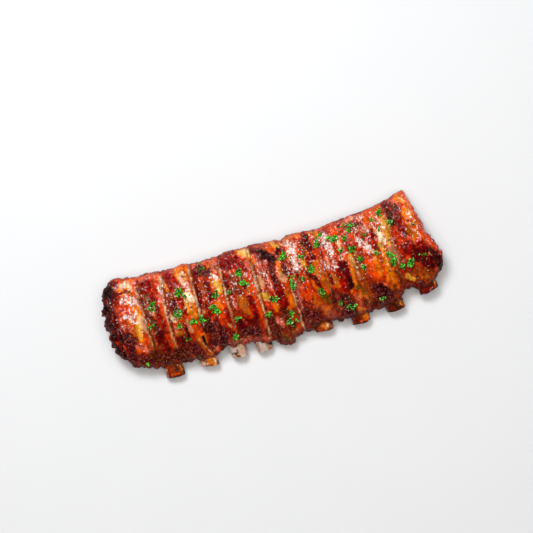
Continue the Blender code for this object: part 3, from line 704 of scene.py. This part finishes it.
def make_bone(rib):
    """A curved bone with a rounded flattened section, and a sawn front end with a rim of hard bone round its marrow."""
    front = RIBS[rib][2]
    back = float(curve(BACK_EDGE, bone_x(rib, BACK_Y)))
    stub = front + np.linspace(0.0, 20.0, 40)
    rings = np.concatenate([stub, np.linspace(front + 22.0, back - EDGE_RADIUS - 2.0, 30)])
    sides = 56
    angle = np.linspace(0.0, 2.0 * math.pi, sides, endpoint=False)
    main_ink, browning, slant, mottling = STUB_LOOKS[rib]
    rows, colours, wear = [], [], []

    def ring(y, shrink, depth):
        half_width, half_height = bone_section(rib, y)
        c, s = np.cos(angle), np.sin(angle)
        across = np.sign(c) * np.abs(c) ** 0.8 * half_width * shrink
        lift = np.sign(s) * np.abs(s) ** 0.85 * half_height * shrink
        lean = math.atan2(-(y - ARCH_TOP_Y), ARCH_RADIUS)
        end = max(0.0, 1.0 - (y - front) / 14.0)
        out_y = y - lift * math.sin(lean) - depth - slant * across / 8.0 * end
        return np.stack([bone_x(rib, y) + across, out_y, arch_height(y) + lift * math.cos(lean)], axis=1)

    for depth, shrink in ((-2.2, 0.0), (-2.0, 0.35), (-1.5, 0.6), (-0.2, 0.72), (0.1, 0.8), (0.1, 0.92), (-0.1, 0.98)):
        rows.append(ring(front, shrink, depth))
        wear.append((1.0, shrink))
    for y in rings:
        rows.append(ring(y, 1.0, 0.0))
        wear.append((max(0.0, 1.0 - (y - front) / 2.4), 1.0))
    for depth in (5.5, 4.0, 2.8, 2.0, 1.5, 1.2):
        rows.append(ring(back - depth - 2.0, 0.9 * float(rounded(np.array(depth))), 0.0))
        wear.append((0.0, 0.5))
    rows.append(ring(back - 3.2, 0.0, 0.0))
    wear.append((0.0, 0.0))
    count = len(rows)
    points = np.concatenate(rows)
    bump = layered(points, (3.0, 5.0, 3.0), 91 + rib) * 0.4 + noise(points, 1.3, 95 + rib) * 0.18
    centre = np.repeat([row.mean(axis=0) for row in rows], sides, axis=0)
    away = points - centre
    length = np.maximum(np.linalg.norm(away, axis=1, keepdims=True), 0.01)
    points = points + away / length * (bump * np.minimum(1.0, length[:, 0] / 3.0))[:, None]
    points[:, 1] += noise(points, 2.4, 97 + rib) * 0.45 * np.repeat([w for w, _ in wear], sides)
    points[:, 2] = np.maximum(points[:, 2], 0.0)

    faces = []
    for j in range(count - 1):
        for i in range(sides):
            k = (i + 1) % sides
            faces.append((j * sides + i, j * sides + k, (j + 1) * sides + k, (j + 1) * sides + i))
    bone = mesh_object(f"rib_bone_{rib + 1:02d}", points, faces)
    bm = bmesh.new()
    bm.from_mesh(bone.data)
    bmesh.ops.remove_doubles(bm, verts=bm.verts, dist=0.004 * MM)
    bmesh.ops.recalc_face_normals(bm, faces=bm.faces)
    bm.to_mesh(bone.data)
    bm.free()

    co = np.zeros(len(bone.data.vertices) * 3)
    bone.data.vertices.foreach_get("co", co)
    points = co.reshape(-1, 3) / MM - np.array([*PLAN_TO_FRAME, 0.0])
    x, y, z = points.T
    side = (x - bone_x(rib, y)) / 7.0
    up = ramp(-0.4, 0.5, (z - arch_height(y)) / 4.0)
    colour = np.tile(INK["tan"] * 0.9, (len(x), 1))
    colour = mixed(colour, main_ink, up * 0.95)
    wobble = layered(points, 2.2, 101) * 0.25
    for weight, ink in streak_weights(STUB_STREAKS, points, wobble):
        colour = mixed(colour, ink, weight * up)
    colour = mixed(colour, "maroon", ramp(0.0, 0.7, layered(points, (2.0, 3.0, 2.0), 103)) * 0.7 * mottling)
    colour = mixed(colour, "bright", ramp(0.3, 0.9, layered(points, (2.4, 3.4, 2.4), 105)) * 0.5 * up * mottling)
    colour = mixed(colour, "char", ramp(0.4, 0.9, layered(points, 2.0, 106)) * 0.6 * mottling)
    rim = 1.0 - ramp(0.6, 1.9, y - front + 2.0 * up + noise(points, 2.0, 107) * 0.5 + slant * side)
    colour = mixed(colour, "maroon", rim * browning)
    colour = mixed(colour, "char", rim * browning * ramp(-0.6, 0.4, noise(points, 2.4, 108)) * 0.9)
    heart = 1.0 - ramp(0.4, 0.8, np.hypot(side * 7.0 / RIBS[rib][3], (z - arch_height(front)) / STUB_HALF_HEIGHT))
    sawn = 1.0 - ramp(-0.4, 0.6, y - front + 2.0 * up - 0.3)
    colour = mixed(colour, "cream", sawn * (1.0 - heart) * (1.0 - browning) * 0.6)
    colour = mixed(colour, "umber", sawn * heart * 0.9)
    colour = colour * (1.0 + (0.05 + 0.12 * mottling) * noise(points, 1.3, 109))[:, None]
    add_colour(bone, "tint", np.clip(colour, 0.0, 1.0))
    add_number(bone, "smooth", (1.4 - mottling) * np.ones(len(x)))
    add_number(bone, "char", rim * browning)
    add_number(bone, "glaze_and_glints", 0.3 * np.ones(len(x)))
    return bone


# ---- parsley and dried herbs ----

class Heap:
    """Small meshes gathered into one."""

    def __init__(self):
        self.points, self.faces, self.shades, self.count = [], [], [], 0

    def add(self, points, faces, shade):
        self.points.append(points)
        self.faces.extend([tuple(int(v) + self.count for v in face) for face in faces])
        self.shades.append(np.broadcast_to(shade, (len(points),)) if np.ndim(shade) == 0 else shade)
        self.count += len(points)

    def build(self, name):
        made = mesh_object(name, np.concatenate(self.points), self.faces)
        add_number(made, "shade", np.concatenate(self.shades))
        return made


def leaf_bit(rng, size):
    """A chopped bit of curly leaf: a lobed scrap, ruffled and a fifth of a millimetre thick."""
    sectors, rings = 18, 4
    angle = np.linspace(0.0, 2.0 * math.pi, sectors, endpoint=False)
    lobes = rng.integers(3, 6)
    phase = rng.uniform(0.0, 6.28, 4)
    stretch = rng.uniform(0.5, 0.95)
    rim = 1.0 + 0.2 * np.sin(lobes * angle + phase[0]) + 0.12 * np.sin((2 * lobes + 1) * angle + phase[1])
    rim += rng.uniform(-0.12, 0.12, sectors)
    layers, shades = [], []
    for thick in (0.11, -0.11):
        rows = [np.array([[0.0, 0.0, thick]])]
        painted_ruffle_light = [np.array([0.1])]
        for ring in range(1, rings + 1):
            t = ring / rings
            radius = size / 2.0 * rim * t
            wave = math.sin(phase[2]) * 0.5 + 1.0
            height = size * 0.34 * wave * t**1.5 * np.sin(3.0 * angle + phase[3]) + size * 0.16 * t * t
            height += size * 0.1 * t * np.sin(7.0 * angle + phase[1])
            edge = thick * (0.5 if ring == rings else 1.0)
            rows.append(np.stack([radius * np.cos(angle), radius * np.sin(angle) * stretch, height + edge], axis=1))
            # painted light and shade: lighter towards the curled rim and on the ruffles' crests, darker at the middle
            # and in the troughs
            painted_ruffle_light.append(0.7 * t + 0.6 * np.sin(3.0 * angle + phase[3]) * t)
        layers.append(np.concatenate(rows))
        shades.append(np.concatenate(painted_ruffle_light))
    per_layer = 1 + sectors * rings
    faces = []
    for layer in range(2):
        base = layer * per_layer
        for i in range(sectors):
            k = (i + 1) % sectors
            strip = [(base, base + 1 + i, base + 1 + k)]
            for ring in range(rings - 1):
                low, high = base + 1 + ring * sectors, base + 1 + (ring + 1) * sectors
                strip.append((low + i, high + i, high + k, low + k))
            faces.extend(strip if layer == 0 else [tuple(reversed(face)) for face in strip])
    outer = 1 + (rings - 1) * sectors
    for i in range(sectors):
        k = (i + 1) % sectors
        faces.append((outer + k, outer + i, per_layer + outer + i, per_layer + outer + k))
    return np.concatenate(layers), faces, np.concatenate(shades)


def landing(tree, x, y):
    """The point of the meat's surface above a place in plan, and the surface's normal."""
    shift = Vector((PLAN_TO_FRAME[0], PLAN_TO_FRAME[1], 0.0))
    start = (Vector((x, y, 100.0)) + shift) * MM
    place, normal, _, _ = tree.ray_cast(start, Vector((0.0, 0.0, -1.0)))
    if place is None:
        return None, None
    return place / MM - shift, normal


def turned(points, rotation, place):
    matrix = np.array(rotation.to_matrix())
    return points @ matrix.T + np.array(place)


def make_parsley(tree):
    rng = np.random.default_rng(SEED)
    heap = Heap()
    for x, y, count, spread, size in PARSLEY:
        for _ in range(count + 1):
            angle = rng.uniform(0.0, 6.28)
            reach = 0.85 * spread * math.sqrt(rng.uniform(0.0, 1.0))
            place, normal = landing(tree, x + reach * math.cos(angle), y + reach * math.sin(angle))
            bit = size * rng.uniform(0.6, 1.15)
            points, faces, shade = leaf_bit(rng, bit)
            tilt = Vector((rng.uniform(-0.5, 0.5), rng.uniform(-0.5, 0.5), 0.0))
            if place is None:
                continue
            up = (Vector(normal) + tilt).normalized()
            rotation = up.to_track_quat("Z", "Y")
            spin = Matrix.Rotation(rng.uniform(0.0, 6.28), 3, "Z").to_quaternion()
            points = turned(points, rotation @ spin, place + up * (0.25 + 0.1 * bit))
            heap.add(points, faces, np.clip(shade + rng.uniform(-0.35, 0.35), 0.0, 1.0))
    return heap.build("parsley")


def herb_flake(rng, size):
    """A crumpled flake of dried herb, with six corners round a bent middle."""
    angle = np.linspace(0.0, 2.0 * math.pi, 6, endpoint=False) + rng.uniform(-0.3, 0.3, 6)
    radius = size / 2.0 * rng.uniform(0.6, 1.1, 6)
    rim = np.stack([radius * np.cos(angle), radius * np.sin(angle) * 0.55, rng.uniform(-0.1, 0.1, 6) * size], axis=1)
    points = np.concatenate([rim, [[0.0, 0.0, 0.22 * size]], [[0.0, 0.0, -0.12 * size]]])
    faces = [(i, (i + 1) % 6, 6) for i in range(6)] + [((i + 1) % 6, i, 7) for i in range(6)]
    return points, faces


def make_herbs(tree):
    rng = np.random.default_rng(SEED + 1)
    heap = Heap()
    wanted = 700
    while wanted:
        wanted -= 1
        if rng.uniform() < 0.6:
            x, y, _, spread, _ = PARSLEY[rng.integers(len(PARSLEY))]
            x, y = x + rng.normal(0.0, spread + 1.5), y + rng.normal(0.0, spread + 2.0)
        else:
            x, y = rng.uniform(-126.0, 122.0), rng.uniform(-38.0, 32.0)
        place, normal = landing(tree, x, y)
        points, faces = herb_flake(rng, rng.uniform(0.9, 2.5))
        shade = rng.uniform(0.0, 1.0)
        spin = Matrix.Rotation(rng.uniform(0.0, 6.28), 3, "Z").to_quaternion()
        if place is None:
            continue
        rotation = Vector(normal).to_track_quat("Z", "Y") @ spin
        heap.add(turned(points, rotation, place + Vector(normal) * 0.15), faces, shade)
    return heap.build("herb_flakes")


# ---- materials ----

class Nodes:
    """A short way to lay out one material's nodes."""

    def __init__(self, name):
        self.material = bpy.data.materials.new(name)
        self.material.use_nodes = True
        self.tree = self.material.node_tree
        self.shader = self.tree.nodes["Principled BSDF"]
        self.where = self.tree.nodes.new("ShaderNodeTexCoord").outputs["Object"]

    def link(self, source, target):
        self.tree.links.new(source, target)

    def attribute(self, name, colour=False):
        node = self.tree.nodes.new("ShaderNodeAttribute")
        node.attribute_name = name
        return node.outputs["Color" if colour else "Fac"]

    def noise(self, size_mm, detail=2.0, stretch=(1.0, 1.0, 1.0)):
        mapping = self.tree.nodes.new("ShaderNodeMapping")
        mapping.inputs["Scale"].default_value = stretch
        self.link(self.where, mapping.inputs["Vector"])
        node = self.tree.nodes.new("ShaderNodeTexNoise")
        node.inputs["Scale"].default_value = 1.0 / (size_mm * MM)
        node.inputs["Detail"].default_value = detail
        self.link(mapping.outputs["Vector"], node.inputs["Vector"])
        return node.outputs["Fac"]

    def cells(self, size_mm):
        node = self.tree.nodes.new("ShaderNodeTexVoronoi")
        node.inputs["Scale"].default_value = 1.0 / (size_mm * MM)
        self.link(self.where, node.inputs["Vector"])
        return node.outputs["Distance"]

    def span(self, value, low, high, to_low=0.0, to_high=1.0):
        node = self.tree.nodes.new("ShaderNodeMapRange")
        node.interpolation_type = "SMOOTHSTEP"
        for name, number in zip(("From Min", "From Max", "To Min", "To Max"), (low, high, to_low, to_high)):
            node.inputs[name].default_value = number
        self.link(value, node.inputs["Value"])
        return node.outputs["Result"]

    def math(self, operation, a, b):
        node = self.tree.nodes.new("ShaderNodeMath")
        node.operation = operation
        for value, socket in zip((a, b), node.inputs):
            if isinstance(value, (int, float)):
                socket.default_value = value
            else:
                self.link(value, socket)
        return node.outputs["Value"]

    def mix(self, kind, factor, a, b):
        node = self.tree.nodes.new("ShaderNodeMix")
        node.data_type = "RGBA"
        node.blend_type = kind
        for value, socket in ((factor, node.inputs[0]), (a, node.inputs[6]), (b, node.inputs[7])):
            if isinstance(value, (int, float)):
                socket.default_value = value
            elif isinstance(value, (tuple, list, np.ndarray)):
                socket.default_value = (*value, 1.0)
            else:
                self.link(value, socket)
        return node.outputs[2]

    def bump(self, height, distance_mm, strength=1.0, below=None):
        node = self.tree.nodes.new("ShaderNodeBump")
        node.inputs["Strength"].default_value = strength
        node.inputs["Distance"].default_value = distance_mm * MM
        self.link(height, node.inputs["Height"])
        if below is not None:
            self.link(below, node.inputs["Normal"])
        return node.outputs["Normal"]


def crust_material(name):
    n = Nodes(name)
    tint, smooth, char = n.attribute("tint", True), n.attribute("smooth"), n.attribute("char")
    glaze_and_glints = n.attribute("glaze_and_glints")
    fine, grain, cells = n.noise(1.9, 2.0, (1.0, 0.7, 1.0)), n.noise(2.4, 3.0, (1.0, 0.6, 1.0)), n.cells(1.9)
    beads = n.noise(1.5, 2.0, (1.0, 0.75, 1.0))
    rough_skin = n.math("SUBTRACT", 1.0, n.math("MULTIPLY", smooth, 0.65))
    # painted shade: darker where the fine noise dips, which also lowers the bump there
    painted_dip_shade = n.math("MULTIPLY", n.span(fine, 0.51, 0.4, 0.0, 0.62), rough_skin)
    darker = n.mix("MULTIPLY", painted_dip_shade, tint, (0.45, 0.07, 0.03))
    lit = n.math("MULTIPLY", n.span(n.noise(1.7, 2.0), 0.5, 0.68, 0.0, 0.6), rough_skin)
    lighter = n.mix("MULTIPLY", lit, darker, (1.5, 1.9, 1.6))
    # painted shade: darker in the creases between the cells that also sink the bump
    painted_crease_shade = n.math("MULTIPLY", n.span(cells, 0.5, 0.85, 0.0, 0.5), rough_skin)
    with_crease_shade = n.mix("MULTIPLY", painted_crease_shade, lighter, (0.5, 0.14, 0.08))
    dust = n.math("MULTIPLY", n.span(n.noise(1.5, 2.0), 0.52, 0.68, 0.0, 0.5), n.span(char, 0.1, 0.4))
    dust = n.math("MULTIPLY", dust, n.span(char, 0.45, 0.65, 1.0, 0.15))
    dusted = n.mix("MIX", dust, with_crease_shade, (0.4, 0.12, 0.085))
    # painted highlights: pinkish white glints on the tops of the bead lumps, denser where the glaze is
    painted_glint_specks = n.span(n.math("ADD", beads, n.math("MULTIPLY", glaze_and_glints, 0.31)), 0.77, 0.87, 0.0, 0.85)
    n.link(n.mix("MIX", painted_glint_specks, dusted, (0.8, 0.71, 0.7)), n.shader.inputs["Base Color"])
    rough = n.span(grain, 0.35, 0.65, 0.26, 0.46)
    n.link(n.math("ADD", rough, n.math("MULTIPLY", char, 0.12)), n.shader.inputs["Roughness"])
    height = n.math("ADD", n.math("MULTIPLY", cells, -0.5), n.math("MULTIPLY", fine, 1.2))
    height = n.math("ADD", height, n.math("MULTIPLY", beads, 1.2))
    normal = n.bump(n.math("MULTIPLY", height, rough_skin), 0.3, 0.9)
    n.link(normal, n.shader.inputs["Normal"])
    n.link(normal, n.shader.inputs["Coat Normal"])
    n.link(n.span(glaze_and_glints, 0.0, 1.0, 0.1, 1.0), n.shader.inputs["Coat Weight"])
    n.shader.inputs["Coat Roughness"].default_value = 0.07
    n.shader.inputs["Coat IOR"].default_value = 1.5
    n.shader.inputs["IOR"].default_value = 1.4
    n.shader.inputs["Specular IOR Level"].default_value = 0.05
    n.shader.inputs["Subsurface Weight"].default_value = 0.08
    n.shader.inputs["Subsurface Radius"].default_value = (1.0, 0.3, 0.15)
    n.shader.inputs["Subsurface Scale"].default_value = 1.2 * MM
    return n.material


def leaf_material(name, dark, light, roughness):
    n = Nodes(name)
    shade = n.attribute("shade")
    # the shade attribute holds painted light on the parsley's ruffles besides each bit's own tone
    base = n.mix("MIX", shade, dark, light)
    # painted shade: dark patches standing in for the shaded gaps between curled leaves
    gap_shaded_leaf = n.mix("MULTIPLY", n.span(n.noise(1.1, 2.0), 0.44, 0.54, 0.0, 0.97), base, (0.05, 0.1, 0.03))
    # painted highlights: pale mint glints on the leaves
    painted_leaf_glints = n.mix("MIX", n.span(n.noise(1.2, 1.0), 0.6, 0.67, 0.0, 0.85), gap_shaded_leaf, (0.62, 0.95, 0.4))
    n.link(painted_leaf_glints, n.shader.inputs["Base Color"])
    n.link(n.span(n.noise(1.2), 0.3, 0.7, roughness, roughness + 0.2), n.shader.inputs["Roughness"])
    n.link(n.bump(n.noise(0.6, 2.0), 0.15, 0.7), n.shader.inputs["Normal"])
    n.shader.inputs["Specular IOR Level"].default_value = 0.25
    n.shader.inputs["Subsurface Weight"].default_value = 0.1
    n.shader.inputs["Subsurface Scale"].default_value = 0.8 * MM
    return n.material


def floor_material():
    n = Nodes("pale_board")
    n.link(n.mix("MIX", n.noise(60.0), (0.72, 0.73, 0.75), (0.74, 0.75, 0.765)), n.shader.inputs["Base Color"])
    n.shader.inputs["Roughness"].default_value = 0.55
    return n.material


# ---- stage ----

def make_floor():
    bm = bmesh.new()
    bmesh.ops.create_grid(bm, x_segments=1, y_segments=1, size=3.0)
    mesh = bpy.data.meshes.new("floor")
    bm.to_mesh(mesh)
    bm.free()
    floor = bpy.data.objects.new("floor", mesh)
    floor.location.z = -0.0002
    bpy.context.scene.collection.objects.link(floor)
    floor.data.materials.append(floor_material())
    return floor


def area_light(name, place, target, size, power, colour=(1.0, 1.0, 1.0), in_gloss=True):
    data = bpy.data.lights.new(name, "AREA")
    data.shape = "SQUARE"
    data.size = size
    data.energy = power
    data.color = colour
    light = bpy.data.objects.new(name, data)
    light.location = place
    light.visible_glossy = in_gloss
    light.rotation_euler = (Vector(target) - Vector(place)).to_track_quat("-Z", "Y").to_euler()
    bpy.context.scene.collection.objects.link(light)


def light_the_stage():
    """A soft key light from behind the loin edge, and a pale surround that is brightest low down."""
    world = bpy.data.worlds.new("studio")
    world.use_nodes = True
    tree = world.node_tree
    background = tree.nodes["Background"]
    where = tree.nodes.new("ShaderNodeTexCoord")
    split = tree.nodes.new("ShaderNodeSeparateXYZ")
    fall = tree.nodes.new("ShaderNodeMapRange")
    tree.links.new(where.outputs["Generated"], split.inputs["Vector"])
    tree.links.new(split.outputs["Z"], fall.inputs["Value"])
    for name, number in zip(("From Min", "From Max", "To Min", "To Max"), (0.18, 0.45, 0.9, 0.04)):
        fall.inputs[name].default_value = number
    tree.links.new(fall.outputs["Result"], background.inputs["Strength"])
    background.inputs["Color"].default_value = (1.0, 1.0, 1.0, 1.0)
    bpy.context.scene.world = world
    area_light("window", (-0.15, 0.65, 1.2), (0.0, 0.0, 0.0), 0.42, 12.0, (0.95, 0.975, 1.0))
    area_light("ceiling", (0.0, 0.1, 2.0), (0.0, 0.0, 0.0), 2.2, 34.0, (1.0, 0.96, 0.91), in_gloss=False)
    bpy.context.scene.view_settings.view_transform = "Standard"


TURN = math.radians(16.0)  # how far the rack lies turned in the view from above
VIEW_WIDTH = 413.4
VIEW_HEIGHT = 1500.0
VIEW_CENTRE = (-0.56, 18.67)


def make_camera():
    data = bpy.data.cameras.new("camera")
    data.sensor_width = 36.0
    data.lens = 36.0 * (VIEW_HEIGHT - 8.0) / VIEW_WIDTH
    data.clip_end = 10.0
    camera = bpy.data.objects.new("camera", data)
    camera.location = (VIEW_CENTRE[0] * MM, VIEW_CENTRE[1] * MM, VIEW_HEIGHT * MM)
    camera.rotation_euler = (0.0, 0.0, -TURN)
    bpy.context.scene.collection.objects.link(camera)
    bpy.context.scene.camera = camera


def main():
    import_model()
    make_camera()
    light_the_stage()
    make_floor()

    crust = crust_material("glazed_crust")
    bone_skin = crust_material("roasted_bone_skin")
    parsley_leaf = leaf_material("parsley_leaf", (0.002, 0.04, 0.001), (0.15, 0.92, 0.008), 0.42)
    dried_herb = leaf_material("dried_herb", (0.008, 0.014, 0.004), (0.14, 0.19, 0.03), 0.5)

    meat = make_meat()
    meat.data.materials.append(crust)
    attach(meat, "root")
    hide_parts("meat")
    for rib in range(len(RIBS)):
        bone = make_bone(rib)
        bone.data.materials.append(bone_skin)
        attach(bone, "root")
        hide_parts(f"bone_{rib + 1:02d}")

    bpy.context.view_layer.update()
    tree = BVHTree.FromObject(meat, bpy.context.evaluated_depsgraph_get())
    for piece, material in ((make_parsley(tree), parsley_leaf), (make_herbs(tree), dried_herb)):
        piece.data.materials.append(material)
        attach(piece, "root")


main()
